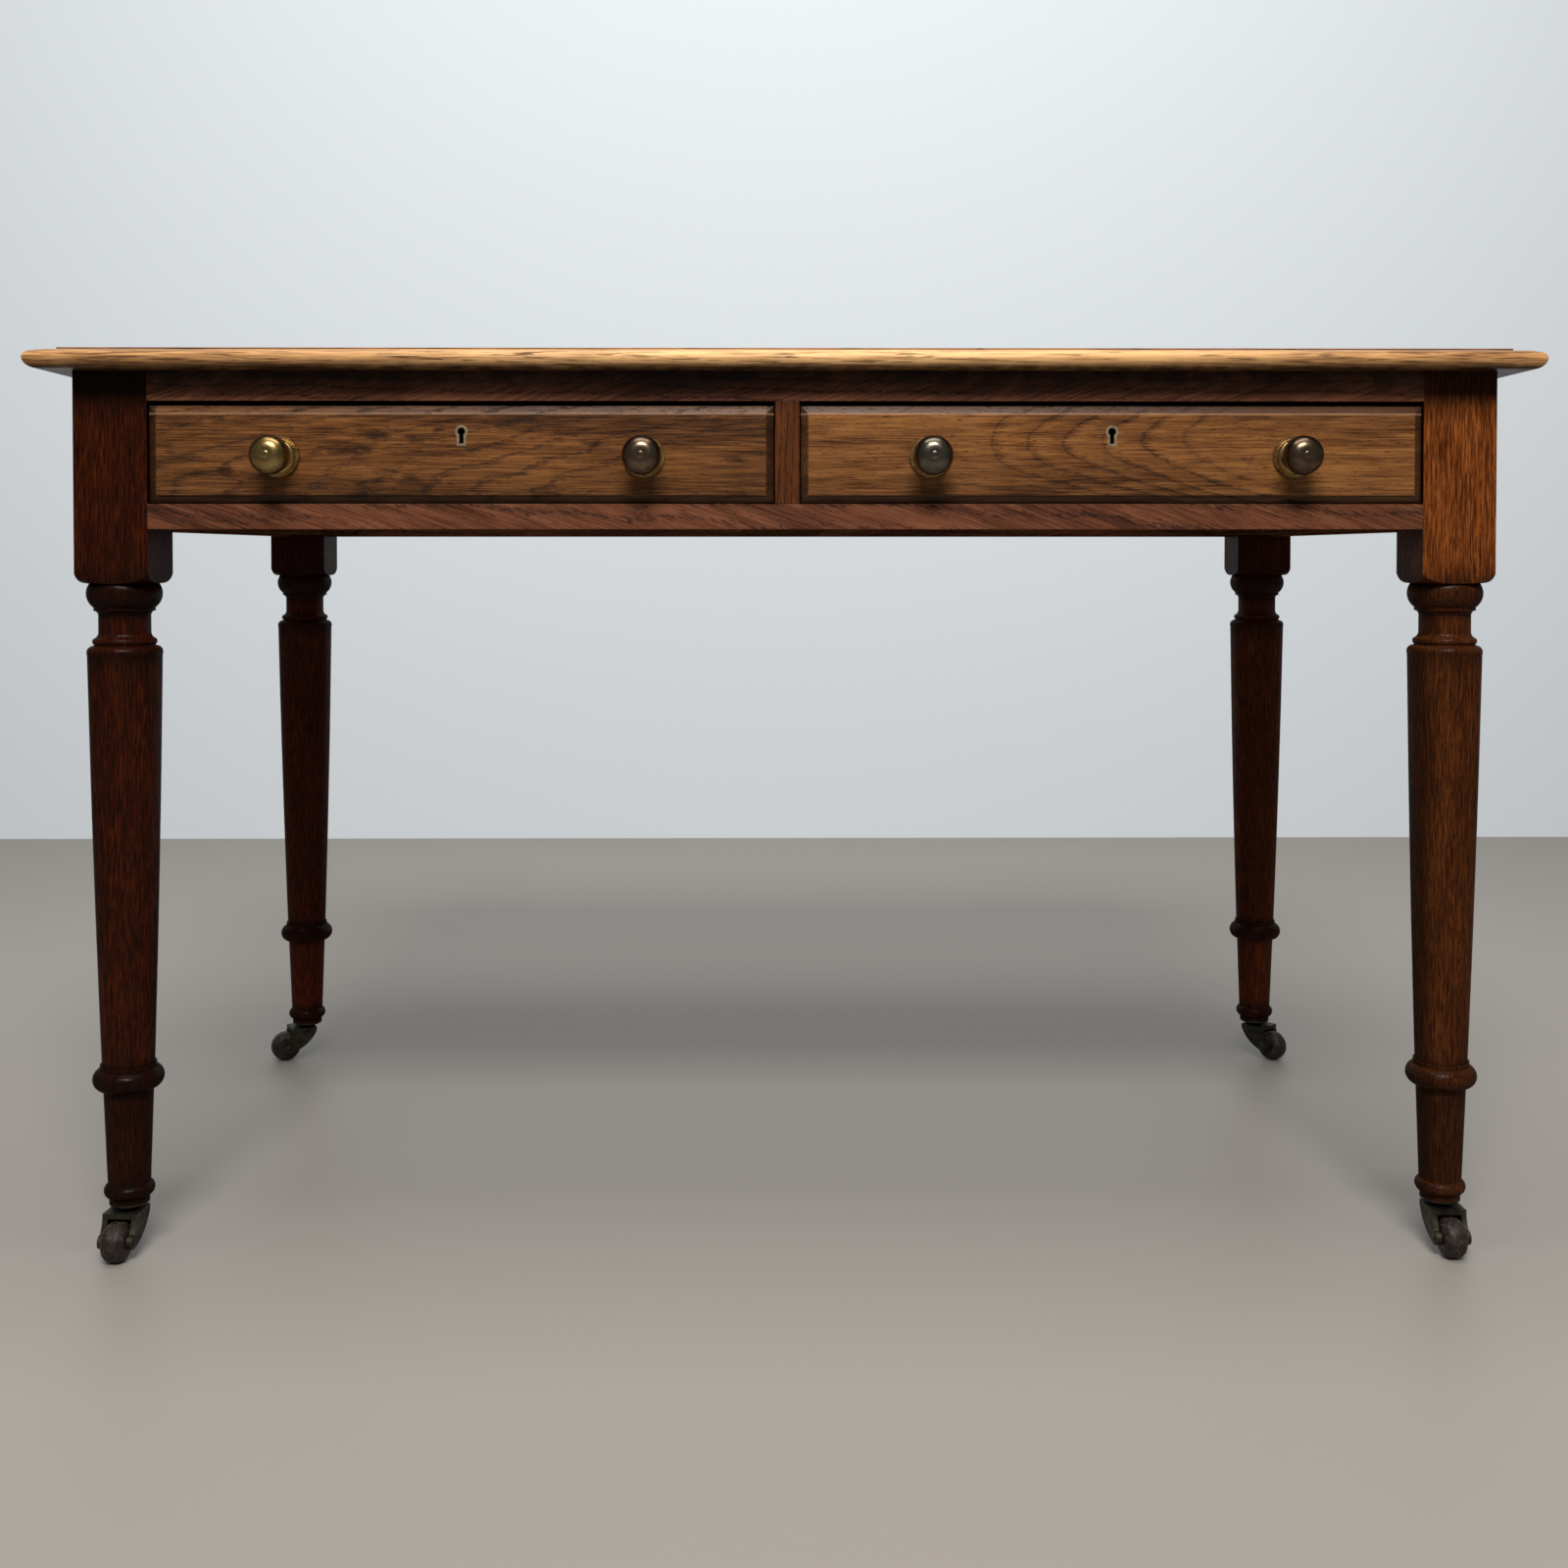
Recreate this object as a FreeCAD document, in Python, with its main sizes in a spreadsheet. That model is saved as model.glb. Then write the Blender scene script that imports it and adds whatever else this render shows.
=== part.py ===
import FreeCAD, Part
import itertools
import math
import os
import Sketcher
from collections import namedtuple

# Oak writing table with two frieze drawers, turned legs and castors.
# Millimetres, +Z up, the front faces -Y.
# The origin is on the floor under the middle of the table, knobs included.

doc = FreeCAD.newDocument("writing_table")
sheet = doc.addObject("Spreadsheet::Sheet", "sizes")
sheet_rows = itertools.count(1)


class Dim:
    """A number that keeps the formula it came from, so that it can be bound to the sheet."""

    def __init__(self, value, text):
        self.value = value
        self.text = text

    def joined(self, sign, other, value):
        return Dim(value, "(%s %s %s)" % (self.text, sign, other.text))

    def __add__(self, other):
        other = dim(other)
        return self.joined("+", other, self.value + other.value)

    def __sub__(self, other):
        other = dim(other)
        return self.joined("-", other, self.value - other.value)

    def __mul__(self, other):
        other = dim(other)
        return self.joined("*", other, self.value * other.value)

    def __truediv__(self, other):
        other = dim(other)
        return self.joined("/", other, self.value / other.value)

    def __radd__(self, other):
        return dim(other) + self

    def __rsub__(self, other):
        return dim(other) - self

    def __rmul__(self, other):
        return dim(other) * self

    def __neg__(self):
        return dim(-1) * self


def dim(number):
    """Give a plain number the form of a size."""
    return number if isinstance(number, Dim) else Dim(float(number), "(%s)" % float(number))


def size(alias, value):
    """Write one driving dimension into the sheet under its alias."""
    row = next(sheet_rows)
    sheet.set("A%d" % row, alias)
    sheet.set("B%d" % row, str(value))
    sheet.setAlias("B%d" % row, alias)
    return Dim(float(value), "sizes." + alias)


# Whole table
table_length = size("table_length", 1220)
table_depth = size("table_depth", 680)
table_height = size("table_height", 750)
overhang = size("overhang", 29)

# Top: three boards with a thumbnail edge
top_thickness = size("top_thickness", 18)
quirk_drop = size("quirk_drop", 2)
nose_run = size("nose_run", 20)
nose_rise = size("nose_rise", 8.5)
brow_run = size("brow_run", 4.5)
brow_drop = size("brow_drop", 2.4)
brow_bulge = size("brow_bulge", 0.9)
tip_bulge = size("tip_bulge", 1.1)
under_run = size("under_run", 8)
under_bulge = size("under_bulge", 2.3)

# Legs, from the floor upwards
leg_square = size("leg_square", 60)
castor_height = size("castor_height", 42)
foot_radius = size("foot_radius", 16.2)
foot_length = size("foot_length", 4.5)
ankle_low_radius = size("ankle_low_radius", 17.1)
foot_ring_length = size("foot_ring_length", 11)
foot_ring_bulge = size("foot_ring_bulge", 3.3)
ankle_length = size("ankle_length", 79.8)
ankle_top_radius = size("ankle_top_radius", 20.1)
collar_radius = size("collar_radius", 23)
collar_length = size("collar_length", 17.2)
collar_bulge = size("collar_bulge", 5.6)
collar_fillet_radius = size("collar_fillet_radius", 22.6)
collar_fillet_length = size("collar_fillet_length", 3.6)
shaft_low_radius = size("shaft_low_radius", 21)
shaft_top_radius = size("shaft_top_radius", 29.7)
shaft_bulge = size("shaft_bulge", 0.7)
shaft_shoulder_length = size("shaft_shoulder_length", 7.5)
shaft_shoulder_bulge = size("shaft_shoulder_bulge", 1.9)
shaft_cap_radius = size("shaft_cap_radius", 25.8)
quirk_length = size("quirk_length", 1.2)
ring_radius = size("ring_radius", 24.4)
ring_length = size("ring_length", 4.8)
ring_bulge = size("ring_bulge", 1.2)
neck_radius = size("neck_radius", 20.8)
neck_length = size("neck_length", 23)
neck_flare_length = size("neck_flare_length", 5)
neck_flare_bulge = size("neck_flare_bulge", 0.9)
neck_top_radius = size("neck_top_radius", 23.2)
fillet_radius = size("fillet_radius", 24.4)
fillet_length = size("fillet_length", 2.7)
bead_length = size("bead_length", 20)
bead_bulge = size("bead_bulge", 4)
bead_top_radius = size("bead_top_radius", 27.6)
shoulder_height = size("shoulder_height", 12.5)
shoulder_bulge = size("shoulder_bulge", 3.6)
corner_reach = size("corner_reach", 2)
block_length = size("block_length", 173.2)

# Frame: rails, muntin, runners and kickers
rail_depth = size("rail_depth", 45)
top_rail_height = size("top_rail_height", 24)
opening_height = size("opening_height", 84)
bottom_rail_height = size("bottom_rail_height", 20.5)
apron_thickness = size("apron_thickness", 22)
apron_reveal = size("apron_reveal", 4)
muntin_width = size("muntin_width", 20)
tenon_length = size("tenon_length", 32)
tenon_thickness = size("tenon_thickness", 8)
tenon_shoulder = size("tenon_shoulder", 15)
rail_tenon_shoulder = size("rail_tenon_shoulder", 8)
rail_tenon_thickness = size("rail_tenon_thickness", 10)
muntin_tenon_width = size("muntin_tenon_width", 12)
stub_length = size("stub_length", 9)
stub_thickness = size("stub_thickness", 7)
stub_wall = size("stub_wall", 5)
runner_thickness = size("runner_thickness", 19)
runner_width = size("runner_width", 30)
guide_height = size("guide_height", 18)
stop_width = size("stop_width", 40)
stop_length = size("stop_length", 16)
stop_height = size("stop_height", 6)
stop_inset = size("stop_inset", 70)
screw_radius = size("screw_radius", 2.2)
screw_head_radius = size("screw_head_radius", 4.4)
screw_head_height = size("screw_head_height", 3)
screw_sink = size("screw_sink", 8)
screw_grip = size("screw_grip", 11)

# Drawers
front_thickness = size("front_thickness", 22)
front_lift = size("front_lift", 0.8)
front_height = size("front_height", 79.2)
bevel_width = size("bevel_width", 6.5)
bevel_depth = size("bevel_depth", 3.6)
field_step = size("field_step", 0.8)
drawer_back_gap = size("drawer_back_gap", 51)
side_thickness = size("side_thickness", 9.5)
side_height = size("side_height", 76)
side_gap = size("side_gap", 1)
front_lap = size("front_lap", 7)
back_thickness = size("back_thickness", 9)
back_height = size("back_height", 56)
tail_neck = size("tail_neck", 13)
tail_flare = size("tail_flare", 2.5)
tail_inset = size("tail_inset", 5)
bottom_thickness = size("bottom_thickness", 7)
bottom_rise = size("bottom_rise", 8.5)
groove_depth = size("groove_depth", 5)

# Knobs, turned from brass, with a wood-screw shank
knob_spread = size("knob_spread", 148.5)
knob_rise = size("knob_rise", 38.5)
rose_radius = size("rose_radius", 16.8)
rose_rim = size("rose_rim", 3)
rose_ring_radius = size("rose_ring_radius", 13)
rose_depth = size("rose_depth", 7.5)
knob_neck_radius = size("knob_neck_radius", 6.8)
knob_neck_length = size("knob_neck_length", 9.5)
ball_back_radius = size("ball_back_radius", 10.5)
ball_radius = size("ball_radius", 15.7)
ball_depth = size("ball_depth", 22.45)
ball_back_depth = size("ball_back_depth", 12.5)
ball_back_bulge = size("ball_back_bulge", 2.2)
ball_front_bulge = size("ball_front_bulge", 3.6)
pip_radius = size("pip_radius", 2.6)
pip_top_radius = size("pip_top_radius", 2)
pip_rise = size("pip_rise", 0.25)
shank_radius = size("shank_radius", 3)
shank_length = size("shank_length", 14)

# Locks and escutcheons
key_rise = size("key_rise", 59)
key_radius = size("key_radius", 3.2)
key_slot_width = size("key_slot_width", 3.5)
key_drop = size("key_drop", 9.7)
escutcheon_wall = size("escutcheon_wall", 2.1)
escutcheon_depth = size("escutcheon_depth", 3)
lock_width = size("lock_width", 50)
lock_height = size("lock_height", 34)
lock_depth = size("lock_depth", 11)
lock_plate_margin = size("lock_plate_margin", 7)
lock_plate_thickness = size("lock_plate_thickness", 2)
lock_face_wall = size("lock_face_wall", 3)
bolt_width = size("bolt_width", 20)
bolt_thickness = size("bolt_thickness", 4.6)
bolt_length = size("bolt_length", 14)
bolt_mortise_depth = size("bolt_mortise_depth", 9)
key_pin_radius = size("key_pin_radius", 1.2)
key_pin_length = size("key_pin_length", 4)
lock_screw_radius = size("lock_screw_radius", 1.3)
lock_screw_length = size("lock_screw_length", 9)

# Castors
plate_thickness = size("plate_thickness", 3.6)
plate_rim = size("plate_rim", 1.4)
plate_low_radius = size("plate_low_radius", 10.5)
plate_bulge = size("plate_bulge", 0.5)
stem_radius = size("stem_radius", 6.5)
stem_length = size("stem_length", 28)
pintle_radius = size("pintle_radius", 3.4)
pintle_length = size("pintle_length", 12)
horn_neck_radius = size("horn_neck_radius", 7.4)
horn_neck_length = size("horn_neck_length", 1.4)
crown_thickness = size("crown_thickness", 4.2)
crown_back = size("crown_back", 7)
crown_front = size("crown_front", 20)
fork_width = size("fork_width", 29)
wheel_radius = size("wheel_radius", 16)
wheel_width = size("wheel_width", 19)
wheel_side_radius = size("wheel_side_radius", 9.5)
wheel_crown = size("wheel_crown", 3.5)
wheel_round = size("wheel_round", 1.6)
wheel_gap = size("wheel_gap", 0.6)
web_gap = size("web_gap", 1.5)
trail = size("trail", 25)
boss_radius = size("boss_radius", 5.8)
arm_hollow = size("arm_hollow", 2)
arm_bow = size("arm_bow", 5)
pin_radius = size("pin_radius", 2.5)
pin_head_radius = size("pin_head_radius", 4.2)
pin_head_depth = size("pin_head_depth", 1.4)
turn_front_left = size("turn_front_left", -4)
turn_front_right = size("turn_front_right", 1)
turn_back_left = size("turn_back_left", -60)
turn_back_right = size("turn_back_right", 38)

# Clearances
fit_gap = size("fit_gap", 0.1)
running_gap = size("running_gap", 0.05)
bolt_gap = size("bolt_gap", 0.2)
bolt_mortise_gap = size("bolt_mortise_gap", 1.2)
overrun = size("overrun", 2)

# Places that several pieces share
half_length = table_length / 2
half_depth = table_depth / 2
underside = table_height - top_thickness
leg_x = half_length - overhang - leg_square / 2
leg_y = half_depth - overhang - leg_square / 2
inner_x = leg_x - leg_square / 2
inner_y = leg_y - leg_square / 2
front_y = overhang - half_depth
rail_back_y = front_y + rail_depth
opening_top = underside - top_rail_height
runner_top = opening_top - opening_height
rail_bottom = runner_top - bottom_rail_height
apron_height = underside - rail_bottom
apron_x = half_length - overhang - apron_reveal - apron_thickness
apron_y = half_depth - overhang - apron_reveal - apron_thickness
drawer_x = (inner_x + muntin_width / 2) / 2
drawer_half = (inner_x - muntin_width / 2) / 2 - side_gap
drawer_length = apron_y - front_y - drawer_back_gap
front_top = front_lift + front_height
bolt_low = front_thickness - lock_depth + lock_face_wall
bolt_high = bolt_low + bolt_thickness
crown_top = castor_height - plate_thickness - horn_neck_length
crown_bottom = crown_top - crown_thickness
leg_base = underside - block_length
knob_reach = rose_depth + knob_neck_length + ball_depth + pip_rise
centring = (knob_reach - overhang) / 2

Ring = namedtuple("Ring", "x y radius")
pieces = []


def bind(target, path, length):
    """Tie one property of an object to its formula."""
    target.setExpression(path, dim(length).text)


def axis_index(name):
    """Number of a sketch's own axis: curves count up from zero and axes down from minus one."""
    return -1 - ("horizontal", "vertical").index(name)


def distance_rules(geometry_index, end, place):
    """Hold one point of a sketch at its place, measured from the sketch's origin."""
    rules = []
    ways = (("DistanceX", "vertical"), ("DistanceY", "horizontal"))
    for (way, axis), length in zip(ways, place):
        if isinstance(length, Dim):
            origin = axis_index("horizontal")
            rule = Sketcher.Constraint(way, origin, 1, geometry_index, end, length.value)
            rules.append((rule, length.text))
        else:
            rules.append((Sketcher.Constraint("PointOnObject", geometry_index, end, axis_index(axis)), None))
    return rules


def arc_radius(start, end, bulge):
    """Radius of the arc over a chord whose middle stands off by the bulge."""
    across = dim(end[0]) - start[0]
    along = dim(end[1]) - start[1]
    chord_squared = across * across + along * along
    stand_off = bulge if bulge.value > 0 else -bulge
    return (chord_squared / 4 + stand_off * stand_off) / (2 * stand_off)


def arc_curve(start, end, bulge, radius):
    """Arc from start to end, bowed to the right of the way for a positive bulge."""
    first = FreeCAD.Vector(dim(start[0]).value, dim(start[1]).value, 0)
    last = FreeCAD.Vector(dim(end[0]).value, dim(end[1]).value, 0)
    if bulge.value < 0:
        first, last = last, first
    chord = last - first
    left = FreeCAD.Vector(-chord.y, chord.x, 0).normalize()
    centre = (first + last) / 2 + left * (radius.value - abs(bulge.value))
    begin = math.atan2(first.y - centre.y, first.x - centre.x)
    finish = math.atan2(last.y - centre.y, last.x - centre.x)
    if finish < begin:
        finish += 2 * math.pi
    circle = Part.Circle(centre, FreeCAD.Vector(0, 0, 1), radius.value)
    return Part.ArcOfCircle(circle, begin, finish)


def loop_parts(loop, first_index):
    """Curves and rules for one closed outline: corners are (x, y) or (x, y, bulge of the way there)."""
    curves = []
    rules = []
    ends = []
    for number, corner in enumerate(loop):
        before = loop[number - 1]
        index = first_index + number
        if len(corner) == 3:
            radius = arc_radius(before, corner, corner[2])
            curves.append(arc_curve(before, corner, corner[2], radius))
            rules.append((Sketcher.Constraint("Radius", index, radius.value), radius.text))
            ends.append((1, 2) if corner[2].value > 0 else (2, 1))
        else:
            start = FreeCAD.Vector(dim(before[0]).value, dim(before[1]).value, 0)
            end = FreeCAD.Vector(dim(corner[0]).value, dim(corner[1]).value, 0)
            curves.append(Part.LineSegment(start, end))
            ends.append((1, 2))
    for number, corner in enumerate(loop):
        index = first_index + number
        after = (number + 1) % len(loop)
        finish = ends[number][1]
        start = ends[after][0]
        rules.append((Sketcher.Constraint("Coincident", index, finish, first_index + after, start), None))
        rules += distance_rules(index, finish, corner[:2])
    return curves, rules


def draw(body, name, plane, loops, offset=0, shift=(0, 0)):
    """Sketch closed outlines on one of the body's own planes, offset along it."""
    sketch = body.newObject("Sketcher::SketchObject", name)
    support = [item for item in body.Origin.OriginFeatures if item.Role == plane + "_Plane"][0]
    sketch.AttachmentSupport = [(support, "")]
    sketch.MapMode = "FlatFace"
    for axis, length in zip("xyz", (shift[0], shift[1], offset)):
        bind(sketch, "AttachmentOffset.Base." + axis, length)
    curves = []
    rules = []
    for loop in loops:
        if isinstance(loop, Ring):
            index = len(curves)
            centre = FreeCAD.Vector(dim(loop.x).value, dim(loop.y).value, 0)
            curves.append(Part.Circle(centre, FreeCAD.Vector(0, 0, 1), loop.radius.value))
            rules.append((Sketcher.Constraint("Radius", index, loop.radius.value), loop.radius.text))
            rules += distance_rules(index, 3, (loop.x, loop.y))
        else:
            new_curves, new_rules = loop_parts(loop, len(curves))
            curves += new_curves
            rules += new_rules
    sketch.addGeometry(curves, False)
    sketch.addConstraint([rule for rule, text in rules])
    for index, (rule, text) in enumerate(rules):
        if text:
            sketch.setExpression("Constraints[%d]" % index, text)
    return sketch


def add_prism(body, name, plane, loops, low, high):
    """Pad outlines so that they fill the way from low to high across their plane."""
    start = -high if plane == "XZ" else low
    feature = body.newObject("PartDesign::Pad", name)
    feature.Profile = draw(body, name + "_outline", plane, loops, start)
    bind(feature, "Length", high - low)


def cut_prism(body, name, plane, loops, low, high):
    """Pocket outlines away from low to high across their plane."""
    start = -low if plane == "XZ" else high
    feature = body.newObject("PartDesign::Pocket", name)
    feature.Profile = draw(body, name + "_outline", plane, loops, start)
    bind(feature, "Length", high - low)


def rectangle(left, right, low, high):
    return [(left, low), (right, low), (right, high), (left, high)]


def add_box(body, name, across, along, upward):
    """Pad a box given by its two ends on each axis."""
    add_prism(body, name, "XY", [rectangle(*across, *along)], *upward)


def cut_box(body, name, across, along, upward):
    """Pocket a box given by its two ends on each axis."""
    cut_prism(body, name, "XY", [rectangle(*across, *along)], *upward)


def turn(body, name, plane, axis, loop, kind="Revolution", offset=0, shift=(0, 0)):
    """Turn an outline right round an axis of its sketch."""
    feature = body.newObject("PartDesign::" + kind, name)
    sketch = draw(body, name + "_outline", plane, [loop], offset, shift)
    feature.Profile = sketch
    feature.ReferenceAxis = (sketch, [axis])
    feature.Angle = 360


def new_body(label, x=0, y=0, z=0, angle=None):
    """Start one sub-part at its place in the table."""
    body = doc.addObject("PartDesign::Body", label)
    body.Label = label
    for axis, length in zip("xyz", (x, y + centring, z)):
        bind(body, "Placement.Base." + axis, length)
    if angle is not None:
        bind(body, "Placement.Rotation.Angle", angle)
    pieces.append(body)
    return body


def primitive(kind, name, place, rotation=None, **lengths):
    """Add a Part primitive with bound sizes and place."""
    item = doc.addObject("Part::" + kind, name)
    if rotation:
        item.Placement = FreeCAD.Placement(FreeCAD.Vector(), rotation)
    for path, length in lengths.items():
        bind(item, path, length)
    x, y, z = place
    for axis, length in zip("xyz", (x, y + centring, z)):
        bind(item, "Placement.Base." + axis, length)
    return item


def group(label, items):
    """Keep like pieces together as separate solids of one sub-part."""
    compound = doc.addObject("Part::Compound", label)
    compound.Label = label
    compound.Links = items
    pieces.append(compound)


# Top boards

def rising_edge(nose):
    """Moulded edge on the far side of a board, from its underside up to its face."""
    brow = top_thickness - quirk_drop - brow_drop
    return [(nose - under_run, 0), (nose, nose_rise, under_bulge), (nose - brow_run, brow, tip_bulge),
            (nose - nose_run, top_thickness - quirk_drop, brow_bulge), (nose - nose_run, top_thickness)]


def falling_edge(nose):
    """Moulded edge on the near side of a board, from its face down to its underside."""
    brow = top_thickness - quirk_drop - brow_drop
    return [(nose + nose_run, top_thickness), (nose + nose_run, top_thickness - quirk_drop),
            (nose + brow_run, brow, brow_bulge), (nose, nose_rise, tip_bulge),
            (nose + under_run, 0, under_bulge)]


def top_board(label, near, far, near_edge, far_edge):
    """One board of the top, with the moulding run along its free edges and both ends."""
    board = new_body(label, 0, 0, underside)
    add_prism(board, label + "_plank", "YZ", [far_edge + near_edge], -half_length, half_length)
    above = top_thickness + overrun
    right_waste = rising_edge(half_length) + [
        (half_length - nose_run, above), (half_length + overrun, above),
        (half_length + overrun, -overrun), (half_length - under_run, -overrun)]
    left_waste = falling_edge(-half_length) + [
        (under_run - half_length, -overrun), (-half_length - overrun, -overrun),
        (-half_length - overrun, above), (nose_run - half_length, above)]
    cut_prism(board, label + "_ends", "XZ", [right_waste, left_waste], near - overrun, far + overrun)
    for row, x in enumerate(kicker_places):
        hole = Ring(x, (near + far) / 2, screw_radius + running_gap)
        cut_prism(board, "%s_screw_hole_%d" % (label, row), "XY", [hole], -overrun, screw_grip)


kicker_places = (runner_width / 2 - inner_x, 0, inner_x - runner_width / 2)
board_width = table_depth / 3
front_joint = board_width - half_depth
back_joint = half_depth - board_width


def square_edge(at, rising):
    ends = [(at, 0), (at, top_thickness)]
    return ends if rising else ends[::-1]


top_board("top_board_front", -half_depth, front_joint,
          falling_edge(-half_depth), square_edge(front_joint, True))
top_board("top_board_middle", front_joint, back_joint,
          square_edge(front_joint, False), square_edge(back_joint, True))
top_board("top_board_back", back_joint, half_depth,
          square_edge(back_joint, False), rising_edge(half_depth))


# Legs

def leg_profile():
    """Half outline of the turning, from the castor plate up to the square block."""
    foot_top = castor_height + foot_length
    ankle_low = foot_top + foot_ring_length
    collar_low = ankle_low + ankle_length
    collar_top = collar_low + collar_length
    shaft_low = collar_top + collar_fillet_length
    bead_low = leg_base - bead_length
    fillet_low = bead_low - fillet_length
    neck_low = fillet_low - neck_length
    ring_low = neck_low - ring_length
    quirk_low = ring_low - quirk_length
    shaft_top = quirk_low - shaft_shoulder_length
    return [
        (0, castor_height), (foot_radius, castor_height), (foot_radius, foot_top),
        (ankle_low_radius, foot_top), (ankle_low_radius, ankle_low, foot_ring_bulge),
        (ankle_top_radius, collar_low),
        (collar_radius, collar_low), (collar_radius, collar_top, collar_bulge),
        (collar_fillet_radius, collar_top), (collar_fillet_radius, shaft_low),
        (shaft_low_radius, shaft_low),
        (shaft_top_radius, shaft_top, shaft_bulge), (shaft_cap_radius, quirk_low, shaft_shoulder_bulge),
        (ring_radius, quirk_low), (ring_radius, ring_low), (ring_radius, neck_low, ring_bulge),
        (neck_radius, neck_low + neck_flare_length, -neck_flare_bulge),
        (neck_radius, fillet_low - neck_flare_length), (neck_top_radius, fillet_low, -neck_flare_bulge),
        (fillet_radius, fillet_low), (fillet_radius, bead_low), (bead_top_radius, leg_base, bead_bulge),
        (0, leg_base)]


def apron_mortise_height():
    return rail_bottom + tenon_shoulder - fit_gap, underside - tenon_shoulder + fit_gap


diagonal_share = math.sqrt(2)


def leg(label, side, face):
    """A turned leg; side is -1 for left and 1 for right, face is -1 for the front and 1 for the back."""
    body = new_body(label, side * leg_x, face * leg_y)
    half = leg_square / 2
    turn(body, label + "_turning", "XZ", "V_Axis", leg_profile())
    add_box(body, label + "_block", (-half, half), (-half, half), (leg_base, underside))
    reach = half * diagonal_share + corner_reach
    shoulder = [(bead_top_radius, leg_base, -shoulder_bulge), (reach, leg_base),
                (reach, leg_base + shoulder_height)]
    turn(body, label + "_shoulder", "XZ", "V_Axis", shoulder, "Groove")
    cut_prism(body, label + "_stem_hole", "XY", [Ring(0, 0, stem_radius + fit_gap)],
              castor_height - overrun, castor_height + stem_length + fit_gap)
    apron_centre = half - apron_reveal - apron_thickness / 2
    cheeks = (apron_centre - tenon_thickness / 2 - fit_gap, apron_centre + tenon_thickness / 2 + fit_gap)
    side_cheeks = (side * cheeks[0], side * cheeks[1])
    face_cheeks = (face * cheeks[0], face * cheeks[1])
    deep = half - tenon_length - fit_gap
    side_way = (-side * (half + overrun), -side * deep)
    face_way = (-face * (half + overrun), -face * deep)
    cut_box(body, label + "_side_mortise", side_cheeks, face_way, apron_mortise_height())
    if face > 0:
        cut_box(body, label + "_back_mortise", side_way, face_cheeks, apron_mortise_height())
        return
    along = (rail_tenon_shoulder - half - fit_gap, rail_depth - rail_tenon_shoulder - half + fit_gap)
    for name, middle in (("top", opening_top + top_rail_height / 2),
                         ("bottom", rail_bottom + bottom_rail_height / 2)):
        height = (middle - rail_tenon_thickness / 2 - fit_gap, middle + rail_tenon_thickness / 2 + fit_gap)
        cut_box(body, "%s_%s_rail_mortise" % (label, name), side_way, along, height)


corners = (("front_left", -1, -1, turn_front_left), ("front_right", 1, -1, turn_front_right),
           ("back_left", -1, 1, turn_back_left), ("back_right", 1, 1, turn_back_right))
for corner_name, side, face, angle in corners:
    leg(corner_name + "_leg", side, face)


# Rails and aprons

def runner_spans():
    """Left and right edges of the three runners, which the kickers above repeat."""
    centre_half = runner_width + muntin_width / 2
    return (("left", -inner_x, runner_width - inner_x), ("centre", -centre_half, centre_half),
            ("right", inner_x - runner_width, inner_x))


def cut_stub_mortises(body, label, along, middle):
    """Mortises that take the stub tenons of the three runners or kickers."""
    height = (middle - stub_thickness / 2 - fit_gap, middle + stub_thickness / 2 + fit_gap)
    for name, left, right in runner_spans():
        across = (left - fit_gap, right + fit_gap)
        cut_box(body, "%s_%s_stub_mortise" % (label, name), across, along, height)


runner_middle = runner_top - runner_thickness / 2
kicker_middle = opening_top + top_rail_height / 2
stub_way_front = (rail_depth - stub_length - fit_gap, rail_depth + overrun)
muntin_tenon_end = rail_depth - stub_length - stub_wall
muntin_mortise_along = (rail_tenon_shoulder - fit_gap, muntin_tenon_end + fit_gap)
muntin_mortise_across = (-muntin_tenon_width / 2 - fit_gap, muntin_tenon_width / 2 + fit_gap)

for label, low, height in (("front_top_rail", opening_top, top_rail_height),
                           ("front_bottom_rail", rail_bottom, bottom_rail_height)):
    rail = new_body(label, 0, front_y, low)
    add_box(rail, label + "_bar", (-inner_x, inner_x), (0, rail_depth), (0, height))
    add_box(rail, label + "_tenons", (-inner_x - tenon_length, inner_x + tenon_length),
            (rail_tenon_shoulder, rail_depth - rail_tenon_shoulder),
            (height / 2 - rail_tenon_thickness / 2, height / 2 + rail_tenon_thickness / 2))
    if label == "front_top_rail":
        cut_box(rail, label + "_muntin_mortise", muntin_mortise_across, muntin_mortise_along,
                (-overrun, stub_length + fit_gap))
        cut_stub_mortises(rail, label, stub_way_front, kicker_middle - low)
        for name, place in (("left", -drawer_x), ("right", drawer_x)):
            mortise_half = bolt_width / 2 + bolt_mortise_gap
            cut_box(rail, "%s_%s_bolt_mortise" % (label, name), (place - mortise_half, place + mortise_half),
                    (bolt_low - bolt_mortise_gap, bolt_high + bolt_mortise_gap),
                    (-overrun, bolt_mortise_depth))
    else:
        cut_box(rail, label + "_muntin_mortise", muntin_mortise_across, muntin_mortise_along,
                (height - stub_length - fit_gap, height + overrun))
        cut_stub_mortises(rail, label, stub_way_front, runner_middle - low)

muntin = new_body("centre_muntin", 0, front_y, runner_top)
add_box(muntin, "muntin_post", (-muntin_width / 2, muntin_width / 2), (0, rail_depth), (0, opening_height))
add_box(muntin, "muntin_tenons", (-muntin_tenon_width / 2, muntin_tenon_width / 2),
        (rail_tenon_shoulder, muntin_tenon_end), (-stub_length, opening_height + stub_length))

apron_cheeks = (apron_thickness / 2 - tenon_thickness / 2, apron_thickness / 2 + tenon_thickness / 2)
apron_tenon_height = (tenon_shoulder, apron_height - tenon_shoulder)

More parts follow.
